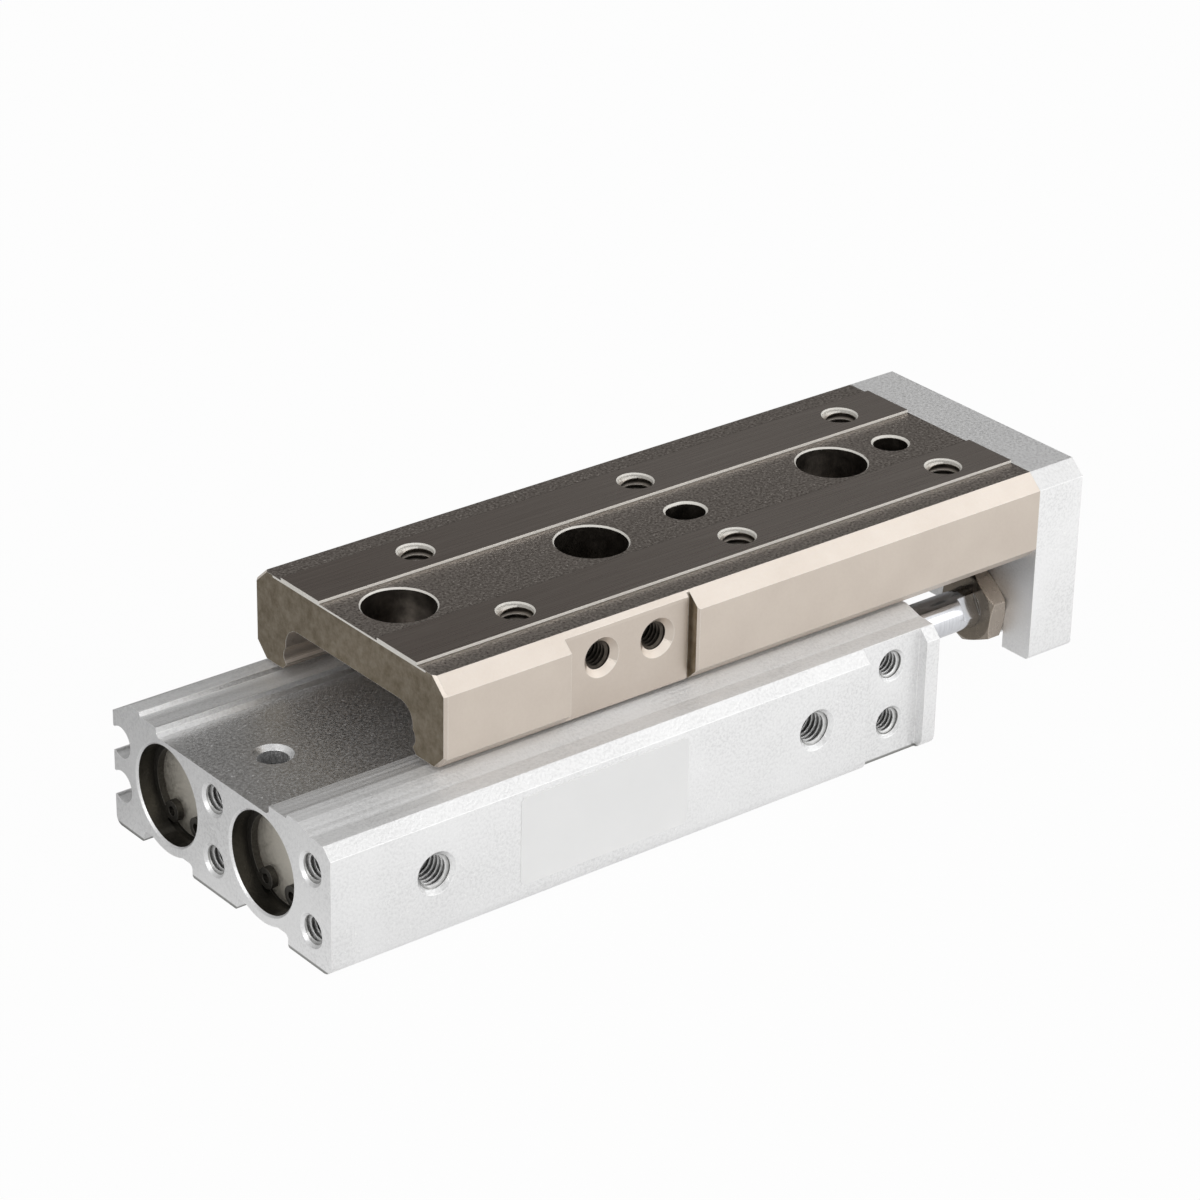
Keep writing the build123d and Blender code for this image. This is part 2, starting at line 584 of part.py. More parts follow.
    # Rod cover with the seal's pocket in its front face
    cover_bore = ROD_RADIUS + ROD_CLEARANCE
    seal_pocket = COVER_FRONT - ROD_SEAL_LENGTH
    groove_start = cover_groove_middle - O_RING_SECTION - O_RING_SQUEEZE
    groove_end = cover_groove_middle + O_RING_SECTION + O_RING_SQUEEZE
    with BuildPart() as rod_cover:
        turn(side, [
            (COVER_REAR, cover_bore),
            (COVER_REAR, plug_fit),
            (groove_start, plug_fit),
            (groove_start, ring_groove),
            (groove_end, ring_groove),
            (groove_end, plug_fit),
            (COVER_SHOULDER, plug_fit),
            (COVER_SHOULDER, mouth_fit),
            (COVER_FRONT, mouth_fit),
            (COVER_FRONT, ROD_SEAL_RADIUS),
            (seal_pocket, ROD_SEAL_RADIUS),
            (seal_pocket, cover_bore),
        ])
    save(rod_cover, f"rod_cover_{word}")
    with BuildPart() as rod_seal:
        ring(side, seal_pocket, ROD_SEAL_LENGTH, ROD_RADIUS + SEAL_CLEARANCE, ROD_SEAL_RADIUS)
    save(rod_seal, f"rod_seal_{word}")

# Guide block: ball tracks along both sides and return bores inside
block_screw_head = 2 * M3_RADIUS * HEAD_RADIUS_SHARE + HEAD_FIT
fixing_screw_head = 2 * M4_RADIUS * HEAD_RADIUS_SHARE + HEAD_FIT
ball_track = BALL_RADIUS + BALL_CLEARANCE
return_radius = BALL_RADIUS + RETURN_CLEARANCE
with BuildPart() as guide_block:
    with BuildSketch(Plane.YZ.offset(BLOCK_REAR)):
        with Locations((0, FLOOR_HEIGHT)):
            Rectangle(2 * BLOCK_HALF_WIDTH, BLOCK_HEIGHT, align=(Align.CENTER, Align.MIN))
        chamfer(vertices(), BLOCK_CHAMFER)
        for side in SIDES.values():
            with Locations((side * BALL_ROW_OFFSET, BALL_ROW_HEIGHT)):
                Circle(ball_track, mode=Mode.SUBTRACT)
            with Locations((side * RETURN_OFFSET, BALL_ROW_HEIGHT)):
                Circle(return_radius, mode=Mode.SUBTRACT)
    extrude(amount=BLOCK_LENGTH)
    top = Plane.XY.offset(BLOCK_TOP)
    with Locations(*spots(top, [(x, 0) for x in BLOCK_SCREW_STATIONS])):
        CounterBoreHole(
            M3_RADIUS + SCREW_HOLE_FIT,
            block_screw_head,
            2 * M3_RADIUS + SCREW_HOLE_FIT,
            depth=BLOCK_HEIGHT,
        )
    with Locations(*spots(top, [(FIXING_STATIONS[-1], 0)])):
        CounterBoreHole(
            M4_RADIUS + SCREW_HOLE_FIT,
            fixing_screw_head,
            2 * M4_RADIUS + SCREW_HOLE_FIT,
            depth=BLOCK_HEIGHT,
        )
    for end, outward in ((BLOCK_REAR, -1), (BLOCK_FRONT, 1)):
        end_face = Plane(origin=(end, 0, 0), x_dir=(0, outward, 0), z_dir=(outward, 0, 0))
        pair = [(-RETURN_CAP_SCREW_Y, BALL_ROW_HEIGHT), (RETURN_CAP_SCREW_Y, BALL_ROW_HEIGHT)]
        with Locations(*spots(end_face, pair)):
            Hole(M2_RADIUS, depth=RETURN_CAP_LENGTH)
save(guide_block, "guide_block")

# Return caps: each turns both runs of balls round into the return bores
turn_radius = (BALL_ROW_OFFSET - RETURN_OFFSET) / 2
turn_offset = (BALL_ROW_OFFSET + RETURN_OFFSET) / 2
cap_screw_head_height = 2 * M2_RADIUS
cap_screw_seat = RETURN_CAP_LENGTH - cap_screw_head_height
for word, inner_face, outward in (("rear", BLOCK_REAR, -1), ("front", BLOCK_FRONT, 1)):
    with BuildPart() as return_cap:
        with BuildSketch(Plane.YZ.offset(inner_face)):
            with BuildLine():
                Polyline(
                    (-BLOCK_HALF_WIDTH, FLOOR_HEIGHT),
                    (BLOCK_HALF_WIDTH, FLOOR_HEIGHT),
                    (BLOCK_HALF_WIDTH, RETURN_CAP_FOOT),
                    (RETURN_CAP_HALF_WIDTH, RETURN_CAP_FOOT),
                    (RETURN_CAP_HALF_WIDTH, BLOCK_TOP - RETURN_CAP_CHAMFER),
                    (RETURN_CAP_HALF_WIDTH - RETURN_CAP_CHAMFER, BLOCK_TOP),
                    (-RETURN_CAP_HALF_WIDTH + RETURN_CAP_CHAMFER, BLOCK_TOP),
                    (-RETURN_CAP_HALF_WIDTH, BLOCK_TOP - RETURN_CAP_CHAMFER),
                    (-RETURN_CAP_HALF_WIDTH, RETURN_CAP_FOOT),
                    (-BLOCK_HALF_WIDTH, RETURN_CAP_FOOT),
                    close=True,
                )
            make_face()
        extrude(amount=outward * RETURN_CAP_LENGTH)
        for side in SIDES.values():
            with Locations((inner_face, side * turn_offset, BALL_ROW_HEIGHT)):
                Torus(turn_radius, return_radius, mode=Mode.SUBTRACT)
        outer_face = Plane(
            origin=(inner_face + outward * RETURN_CAP_LENGTH, 0, 0),
            x_dir=(0, outward, 0),
            z_dir=(outward, 0, 0),
        )
        pair = [(-RETURN_CAP_SCREW_Y, BALL_ROW_HEIGHT), (RETURN_CAP_SCREW_Y, BALL_ROW_HEIGHT)]
        with Locations(*spots(outer_face, pair)):
            CounterBoreHole(
                M2_RADIUS + SCREW_HOLE_FIT,
                2 * M2_RADIUS * HEAD_RADIUS_SHARE + HEAD_FIT,
                cap_screw_head_height,
                depth=RETURN_CAP_LENGTH,
            )
    save(return_cap, f"ball_return_cap_{word}")

# Screws of the return caps
with BuildPart() as return_cap_screws:
    for inner_face, outward in ((BLOCK_REAR, -1), (BLOCK_FRONT, 1)):
        head_seat = Plane(
            origin=(inner_face + outward * cap_screw_seat, 0, 0),
            x_dir=(0, outward, 0),
            z_dir=(outward, 0, 0),
        )
        pair = [(-RETURN_CAP_SCREW_Y, BALL_ROW_HEIGHT), (RETURN_CAP_SCREW_Y, BALL_ROW_HEIGHT)]
        cap_screw(head_seat, pair, M2_RADIUS, cap_screw_head_height, cap_screw_seat + RETURN_CAP_LENGTH)
save(return_cap_screws, "return_cap_screws")

# Screws of the guide block
block_seat_depth = 2 * M3_RADIUS + SCREW_HOLE_FIT
with BuildPart() as guide_block_screws:
    head_seat = Plane.XY.offset(BLOCK_TOP - block_seat_depth)
    shank = BLOCK_HEIGHT - block_seat_depth + BLOCK_SCREW_REACH
    cap_screw(head_seat, [(x, 0) for x in BLOCK_SCREW_STATIONS], M3_RADIUS, 2 * M3_RADIUS, shank)
save(guide_block_screws, "guide_block_screws")

# Balls that carry the table, and the slotted strips that keep them in their tracks
ball_pitch = 2 * BALL_RADIUS + BALL_GAP
ball_count = int((BLOCK_LENGTH - BALL_GAP) / ball_pitch)
first_ball = (BLOCK_REAR + BLOCK_FRONT - (ball_count - 1) * ball_pitch) / 2
for word, side in SIDES.items():
    with BuildPart() as guide_balls:
        for index in range(ball_count):
            with Locations((first_ball + index * ball_pitch, side * BALL_ROW_OFFSET, BALL_ROW_HEIGHT)):
                Sphere(BALL_RADIUS)
    save(guide_balls, f"guide_balls_{word}")

    with BuildPart() as ball_retainer:
        retainer_inner = BLOCK_HALF_WIDTH + RETAINER_GAP
        strip_plane = Plane(origin=(BLOCK_REAR, side * retainer_inner, 0), x_dir=(1, 0, 0), z_dir=(0, -1, 0))
        with BuildSketch(strip_plane):
            with Locations((RETAINER_GAP, BALL_ROW_HEIGHT)):
                Rectangle(BLOCK_LENGTH - 2 * RETAINER_GAP, RETAINER_HEIGHT, align=(Align.MIN, Align.CENTER))
            with Locations((BLOCK_LENGTH / 2, BALL_ROW_HEIGHT)):
                Rectangle(BLOCK_LENGTH - 4 * BALL_GAP, RETAINER_SLOT, mode=Mode.SUBTRACT)
        extrude(amount=-side * RETAINER_THICKNESS)
    save(ball_retainer, f"ball_retainer_{word}")

# Slide table
with BuildPart() as slide_table:
    with BuildSketch(Plane.YZ.offset(TABLE_REAR)):
        with BuildLine():
            right_half = Polyline(
                (0, TABLE_TOP),
                (PAD_INNER, TABLE_TOP),
                (PAD_INNER, PAD_TOP),
                (PAD_OUTER, PAD_TOP),
                (PAD_OUTER, TABLE_TOP),
                (TABLE_HALF_WIDTH - TOP_CHAMFER_WIDTH, TABLE_TOP),
                (TABLE_HALF_WIDTH, TABLE_TOP - TOP_CHAMFER_HEIGHT),
                (TABLE_HALF_WIDTH, TABLE_LEG_BOTTOM + LEG_CHAMFER),
                (TABLE_HALF_WIDTH - LEG_CHAMFER, TABLE_LEG_BOTTOM),
                (CHANNEL_HALF_WIDTH + LEG_LEAD_IN, TABLE_LEG_BOTTOM),
                (CHANNEL_HALF_WIDTH, TABLE_LEG_BOTTOM + LEG_LEAD_IN),
                (CHANNEL_HALF_WIDTH, CHANNEL_CEILING),
                (0, CHANNEL_CEILING),
            )
            mirror(right_half, about=Plane.YZ)
        table_face = make_face()
        ceiling = table_face.vertices().filter_by(lambda v: abs(v.Y - CHANNEL_CEILING) < 0.01)
        fillet(ceiling.filter_by(lambda v: abs(v.X) > CHANNEL_HALF_WIDTH / 2), CHANNEL_FILLET)
        # Ball tracks in the inner walls
        for side in SIDES.values():
            with Locations((side * BALL_ROW_OFFSET, BALL_ROW_HEIGHT)):
                Circle(ball_track, mode=Mode.SUBTRACT)
    extrude(amount=TABLE_LENGTH)
    rear_end = slide_table.faces().sort_by(Axis.X)[0]
    flank_start = TABLE_HALF_WIDTH - TOP_CHAMFER_WIDTH
    side_edges = rear_end.edges().filter_by(lambda e: abs(e.center().Y) > flank_start)
    chamfer(side_edges, TABLE_END_CHAMFER)
    # Access holes that line up with the body's fixing holes when the slide is in
    access = [(x + REST_EXTENSION, 0) for x in FIXING_STATIONS]
    with Locations(*spots(Plane.XY.offset(TABLE_TOP), access)):
        CounterSinkHole(ACCESS_RADIUS, ACCESS_RADIUS + ACCESS_CHAMFER, depth=TABLE_TOP - CHANNEL_CEILING)
    # Threaded holes through the pads
    tap_stations = [TABLE_REAR + TABLE_TAP_X + index * TABLE_TAP_PITCH_X for index in range(3)]
    pad_taps = []
    for x in tap_stations:
        pad_taps.append((x, -TABLE_TAP_PITCH_Y / 2))
        pad_taps.append((x, TABLE_TAP_PITCH_Y / 2))
    with Locations(*spots(Plane.XY.offset(PAD_TOP), pad_taps)):
        CounterSinkHole(M5_RADIUS, M5_MOUTH, depth=PAD_TOP - CHANNEL_CEILING, counter_sink_angle=90)
    # Dowel hole and dowel slot in line with the threaded holes
    with BuildSketch(Plane.XY.offset(TABLE_TOP)):
        with Locations((tap_stations[1], 0)):
            SlotOverall(DOWEL_SLOT_LENGTH, 2 * DOWEL_RADIUS)
        with Locations((tap_stations[2], 0)):
            Circle(DOWEL_RADIUS)
    extrude(amount=-DOWEL_DEPTH, mode=Mode.SUBTRACT)
    with BuildSketch(Plane.XY.offset(TABLE_TOP)):
        with Locations((tap_stations[1], 0)):
            SlotOverall(DOWEL_SLOT_LENGTH + 2 * DOWEL_CHAMFER, 2 * DOWEL_RADIUS + 2 * DOWEL_CHAMFER)
        with Locations((tap_stations[2], 0)):
            Circle(DOWEL_RADIUS + DOWEL_CHAMFER)
    extrude(amount=-DOWEL_CHAMFER, taper=45, mode=Mode.SUBTRACT)
    # Seat for a stop block in the near side, with a corner relief and two threaded holes
    table_seat_rear = TABLE_REAR + TABLE_SEAT_X
    table_seat_front = table_seat_rear + TABLE_SEAT_LENGTH
    with BuildSketch(TABLE_NEAR_FACE):
        with Locations((table_seat_rear, TABLE_LEG_BOTTOM)):
            Rectangle(TABLE_SEAT_LENGTH, PAD_TOP - TABLE_LEG_BOTTOM, align=(Align.MIN, Align.MIN))
    extrude(amount=-SEAT_DEPTH, mode=Mode.SUBTRACT)
    with BuildSketch(TABLE_SEAT_FACE):
        with Locations((table_seat_front, TABLE_LEG_BOTTOM)):
            Rectangle(TABLE_SEAT_RELIEF, PAD_TOP - TABLE_LEG_BOTTOM, align=(Align.MAX, Align.MIN))
    extrude(amount=-TABLE_SEAT_RELIEF, mode=Mode.SUBTRACT)
    seat_corner = (table_seat_front, -TABLE_HALF_WIDTH, BALL_ROW_HEIGHT)
    seat_edge = edges().filter_by(Axis.Z).sort_by_distance(seat_corner)[0]
    chamfer(seat_edge, TABLE_SEAT_EDGE)
    table_seat_taps = []
    for index in range(2):
        tap_x = table_seat_rear + TABLE_SEAT_TAP_X + index * TABLE_SEAT_TAP_PITCH
        table_seat_taps.append((tap_x, TABLE_SEAT_TAP_HEIGHT))
    with Locations(*spots(TABLE_SEAT_FACE, table_seat_taps)):
        CounterSinkHole(M4_RADIUS, TABLE_SEAT_TAP_MOUTH, depth=SEAT_TAP_DEPTH, counter_sink_angle=90)
    # Threaded holes for the end plate's screws
    plate_screws = []
    for side in SIDES.values():
        plate_screws.append((side * PLATE_SCREW_Y, PLATE_SCREW_HEIGHT))
        plate_screws.append((side * PLATE_INNER_SCREW_Y, PLATE_INNER_SCREW_HEIGHT))
    with Locations(*spots(Plane.YZ.offset(TABLE_FRONT), plate_screws)):
        Hole(M3_RADIUS, depth=PLATE_SCREW_REACH)
save(slide_table, "slide_table")

# End plate
plate_head_radius = 2 * M3_RADIUS * HEAD_RADIUS_SHARE + HEAD_FIT
plate_head_depth = 2 * M3_RADIUS + SCREW_HOLE_FIT
with BuildPart() as end_plate:
    with BuildSketch(Plane.YZ.offset(TABLE_FRONT)):
        with BuildLine():
            right_half = Polyline(
                (0, TABLE_TOP),
                (TABLE_HALF_WIDTH - TOP_CHAMFER_WIDTH, TABLE_TOP),
                (TABLE_HALF_WIDTH, TABLE_TOP - TOP_CHAMFER_HEIGHT),
                (TABLE_HALF_WIDTH, PLATE_BOTTOM),
                (PLATE_LEG_INNER, PLATE_BOTTOM),
                (PLATE_LEG_INNER, PLATE_NOTCH_HEIGHT),
                (0, PLATE_NOTCH_HEIGHT),
            )
            mirror(right_half, about=Plane.YZ)
        plate_face = make_face()
        feet = plate_face.vertices().group_by(Axis.Y)[0]
        fillet(feet.filter_by(lambda v: abs(v.X) > TABLE_HALF_WIDTH - 0.1), PLATE_FOOT_RADIUS)
        # Round lobes under the rod ends
        for side in SIDES.values():
            with Locations((side * BORE_OFFSET, BORE_HEIGHT)):
                Circle(PLATE_LOBE_RADIUS)
    extrude(amount=PLATE_THICKNESS)
    # Seats of the rod bushes
    bush_spots = [(side * BORE_OFFSET, BORE_HEIGHT) for side in SIDES.values()]
    with Locations(*spots(PLATE_FRONT_FACE, bush_spots)):
        CounterBoreHole(
            BUSH_RADIUS + BUSH_CLEARANCE,
            BUSH_FLANGE_RADIUS + BUSH_CLEARANCE,
            BUSH_FLANGE_THICKNESS,
            depth=PLATE_THICKNESS,
        )
    # Screw holes into the table
    with Locations(*spots(PLATE_FRONT_FACE, plate_screws)):
        CounterBoreHole(
            M3_RADIUS + SCREW_HOLE_FIT,
            plate_head_radius,
            plate_head_depth,
            depth=PLATE_THICKNESS,
        )
    # Threaded holes for a tool
    with Locations(*[PLATE_FRONT_FACE.location * Pos(0, PLATE_TAP_HEIGHT, 0)]):
        with GridLocations(PLATE_TAP_PITCH_Y, PLATE_TAP_PITCH_Z, 2, 2):
            CounterSinkHole(M4_RADIUS, M4_MOUTH, depth=PLATE_THICKNESS, counter_sink_angle=90)
save(end_plate, "end_plate")

# Screws of the end plate
with BuildPart() as end_plate_screws:
    head_seat = Plane.YZ.offset(PLATE_FRONT - plate_head_depth)
    shank = PLATE_THICKNESS - plate_head_depth + PLATE_SCREW_REACH
    cap_screw(head_seat, plate_screws, M3_RADIUS, 2 * M3_RADIUS, shank)
save(end_plate_screws, "end_plate_screws")
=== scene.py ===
import json
import math

import bpy
from mathutils import Matrix, Vector


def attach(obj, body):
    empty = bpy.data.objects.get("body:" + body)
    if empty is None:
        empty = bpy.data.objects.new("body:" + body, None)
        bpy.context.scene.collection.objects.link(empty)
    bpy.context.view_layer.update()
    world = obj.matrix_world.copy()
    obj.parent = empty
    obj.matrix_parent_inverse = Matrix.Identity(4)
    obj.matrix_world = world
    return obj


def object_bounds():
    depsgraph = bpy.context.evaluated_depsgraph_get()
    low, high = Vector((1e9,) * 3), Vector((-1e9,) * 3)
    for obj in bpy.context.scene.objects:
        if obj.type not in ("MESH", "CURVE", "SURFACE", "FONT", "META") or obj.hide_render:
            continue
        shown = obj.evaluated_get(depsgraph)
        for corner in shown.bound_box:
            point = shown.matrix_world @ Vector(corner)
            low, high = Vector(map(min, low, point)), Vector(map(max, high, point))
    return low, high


MM = 0.001

# Camera: where it stands from the object's origin, in millimetres, and how it looks
CAMERA_AT = (-306.84, -393.53, 276.95)
CAMERA_AZIMUTH = -39.04
CAMERA_ELEVATION = 26.545
CAMERA_ROLL = 1.118
CAMERA_LENS = 124.3

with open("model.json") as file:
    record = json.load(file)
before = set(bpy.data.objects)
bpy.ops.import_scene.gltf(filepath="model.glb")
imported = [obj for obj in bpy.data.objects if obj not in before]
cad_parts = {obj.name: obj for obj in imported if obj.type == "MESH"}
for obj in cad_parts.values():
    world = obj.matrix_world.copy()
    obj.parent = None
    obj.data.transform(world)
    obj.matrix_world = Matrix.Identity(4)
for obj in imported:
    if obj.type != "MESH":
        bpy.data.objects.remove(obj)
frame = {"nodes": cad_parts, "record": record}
NODES = frame["nodes"]
cad_low, cad_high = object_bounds()
MOUNTS = {mount["name"]: mount for mount in frame["record"]["mounts"]}


class Graph:
    """The node tree of a material or a world, with short ways to add and join nodes."""

    def __init__(self, owner):
        owner.use_nodes = True
        self.owner = owner
        self.nodes = owner.node_tree.nodes
        self.links = owner.node_tree.links
        self.shader = self.nodes.get("Principled BSDF")

    def add(self, kind, **settings):
        node = self.nodes.new(kind)
        for key, value in settings.items():
            setattr(node, key, value)
        return node

    def join(self, value, socket):
        """Another node's output joined to a socket, or a plain value written on it."""
        if isinstance(value, bpy.types.NodeSocket):
            self.links.new(value, socket)
        else:
            socket.default_value = value

    def place(self, stretch=(1, 1, 1)):
        """Positions on the object in metres, stretched along its axes."""
        coordinates = self.add("ShaderNodeTexCoord")
        mapping = self.add("ShaderNodeMapping")
        self.join(stretch, mapping.inputs["Scale"])
        self.join(coordinates.outputs["Object"], mapping.inputs["Vector"])
        return mapping.outputs["Vector"]

    def along(self, axis):
        """One coordinate of the place on the object, in metres."""
        node = self.add("ShaderNodeSeparateXYZ")
        self.join(self.place(), node.inputs["Vector"])
        return node.outputs[axis]

    def off_centre(self):
        """How far to either side of the middle the place is, in metres."""
        return self.calculate("ABSOLUTE", self.along("Y"))

    def noise(self, size_mm, detail=3.0, roughness=0.5, stretch=(1, 1, 1)):
        """Noise whose features are about size_mm across."""
        node = self.add("ShaderNodeTexNoise")
        self.join(1 / (size_mm * MM), node.inputs["Scale"])
        self.join(detail, node.inputs["Detail"])
        self.join(roughness, node.inputs["Roughness"])
        self.join(self.place(stretch), node.inputs["Vector"])
        return node.outputs["Fac"]

    def ramp(self, value, low, high, start=0.3, end=0.7):
        """A value turned into a blend of two colours."""
        node = self.add("ShaderNodeValToRGB")
        for element, position, color in zip(node.color_ramp.elements, (start, end), (low, high)):
            element.position = position
            element.color = (*color, 1)
        self.join(value, node.inputs["Fac"])
        return node.outputs["Color"]

    def scale(self, value, low, high, start=0.3, end=0.7):
        """A value moved from one range to another, and held inside it."""
        node = self.add("ShaderNodeMapRange")
        self.join(start, node.inputs["From Min"])
        self.join(end, node.inputs["From Max"])
        self.join(low, node.inputs["To Min"])
        self.join(high, node.inputs["To Max"])
        self.join(value, node.inputs["Value"])
        return node.outputs["Result"]

    def beyond(self, value, limit, border):
        """A mask that rises from 0 at a limit to 1 after its border, both in millimetres."""
        return self.scale(value, 0, 1, limit * MM, (limit + border) * MM)

    def short_of(self, value, limit, border):
        """A mask that falls from 1 at a limit to 0 after its border, both in millimetres."""
        return self.scale(value, 1, 0, limit * MM, (limit + border) * MM)

    def mix(self, mask, first, second, kind="RGBA"):
        """The first colour where the mask is 0, the second where it is 1."""
        node = self.add("ShaderNodeMix", data_type=kind)
        self.join(mask, node.inputs["Factor"])
        self.join(first, node.inputs["A"])
        self.join(second, node.inputs["B"])
        return node.outputs["Result"]

    def blend(self, mask, first, second):
        """As mix, for plain values."""
        return self.mix(mask, first, second, "FLOAT")

    def calculate(self, operation, first, second=0.0):
        """One step of arithmetic with values or plain numbers."""
        node = self.add("ShaderNodeMath", operation=operation)
        self.join(first, node.inputs[0])
        self.join(second, node.inputs[1])
        return node.outputs["Value"]

    def product(self, first, second):
        return self.calculate("MULTIPLY", first, second)

    def facing(self, axis):
        """One part of the direction that the surface faces."""
        geometry = self.add("ShaderNodeNewGeometry")
        node = self.add("ShaderNodeSeparateXYZ")
        self.join(geometry.outputs["True Normal"], node.inputs["Vector"])
        return node.outputs[axis]

    def facing_up(self):
        """1 on level faces that look up."""
        return self.scale(self.facing("Z"), 0, 1, 0.85, 0.95)

    def facing_against(self, axis):
        """1 on faces that look against an axis."""
        return self.scale(self.facing(axis), 1, 0, -0.9, -0.8)

    def inside(self, holes, crests=False):
        """1 on the walls of round holes, given as (axis, a point on it, radius, span), in millimetres.
        With crests, the ridges of threads stay bright and only their roots count."""
        slack = 0.03
        crest, root = 0.84, 0.97
        place = self.place()
        separate = self.add("ShaderNodeSeparateXYZ")
        self.join(place, separate.inputs["Vector"])
        walls = []
        for axis, point, radius, span in holes:
            flat = self.add("ShaderNodeVectorMath", operation="MULTIPLY")
            self.join([0 if name == axis else 1 for name in "XYZ"], flat.inputs[1])
            self.join(place, flat.inputs[0])
            away = self.add("ShaderNodeVectorMath", operation="DISTANCE")
            self.join(flat.outputs["Vector"], away.inputs[0])
            centre = [0 if name == axis else value * MM for name, value in zip("XYZ", point)]
            self.join(centre, away.inputs[1])
            wall = self.calculate("LESS_THAN", away.outputs["Value"], (radius + slack) * MM)
            if crests:
                depth = self.scale(away.outputs["Value"], 0.25, 1, crest * radius * MM, root * radius * MM)
                wall = self.product(wall, depth)
            above = self.calculate("GREATER_THAN", separate.outputs[axis], span[0] * MM)
            below = self.calculate("LESS_THAN", separate.outputs[axis], span[1] * MM)
            walls.append(self.product(wall, self.product(above, below)))
        total = walls[0]
        for wall in walls[1:]:
            total = self.calculate("MAXIMUM", total, wall)
        return total

    def rounded(self, width_mm):
        """The direction that the surface would face if its edges were rounded."""
        edge = self.add("ShaderNodeBevel", samples=6)
        self.join(width_mm * MM, edge.inputs["Radius"])
        return edge.outputs["Normal"]

    def edge_wear_and_highlight(self, width_mm):
        """1 on sharp edges and 0 on faces, from how far a rounded edge would turn the surface."""
        geometry = self.add("ShaderNodeNewGeometry")
        turn = self.add("ShaderNodeVectorMath", operation="DOT_PRODUCT")
        self.join(self.rounded(width_mm), turn.inputs[0])
        self.join(geometry.outputs["True Normal"], turn.inputs[1])
        return self.scale(turn.outputs["Value"], 0, 1, 0.995, 0.93)

    def relief(self, height, strength, depth_mm, edge_mm=0.0):
        """Bumps of a height on the surface, with edges rounded by edge_mm."""
        bump = self.add("ShaderNodeBump")
        self.join(strength, bump.inputs["Strength"])
        self.join(depth_mm * MM, bump.inputs["Distance"])
        self.join(height, bump.inputs["Height"])
        if edge_mm:
            self.join(self.rounded(edge_mm), bump.inputs["Normal"])
        self.join(bump.outputs["Normal"], self.shader.inputs["Normal"])

    def finish(self, color, roughness, metallic=0.0):
        """The material, once its colour, roughness and metallic share are on its shader."""
        self.join(color, self.shader.inputs["Base Color"])
        self.join(roughness, self.shader.inputs["Roughness"])
        self.join(metallic, self.shader.inputs["Metallic"])
        return self.owner


def tinted(color, share):
    """A colour made darker or lighter."""
    return tuple(share * part for part in color)


def pattern_points(mount):
    """The holes of a bolt pattern, in millimetres, and the way that they open."""
    centre = Vector(mount["pos_m"]) / MM
    normal = Vector(mount["axis"])
    along = [i for i in range(3) if abs(normal[i]) < 0.5]
    dims = mount["dims"]
    first = dims.get("spacing_x_mm", 0) / 2
    second = dims.get("spacing_y_mm", 0) / 2
    points = []
    for a in sorted({-first, first}):
        for b in sorted({-second, second}):
            point = centre.copy()
            point[along[0]] += a
            point[along[1]] += b
            points.append(point)
    return points, normal


def bolt_holes(mount_name, depth, mouth=0.4):
    """The holes of one bolt pattern, as Graph.inside takes them, from a little below their mouths."""
    mount = MOUNTS[mount_name]
    points, normal = pattern_points(mount)
    axis = "XYZ"[[abs(part) > 0.5 for part in normal].index(True)]
    holes = []
    for point in points:
        level = point["XYZ".index(axis)]
        sign = sum(normal)
        ends = sorted((level - sign * mouth, level - sign * depth))
        holes.append((axis, point, mount["dims"]["hole_r_mm"], ends))
    return holes


# Noise along the travel, as a mill or a grinding wheel leaves it
MILLED = (0.01, 1, 1)
GROUND = (0.02, 1, 1)

# Width of the border between two finishes, in millimetres
BORDER = 0.2


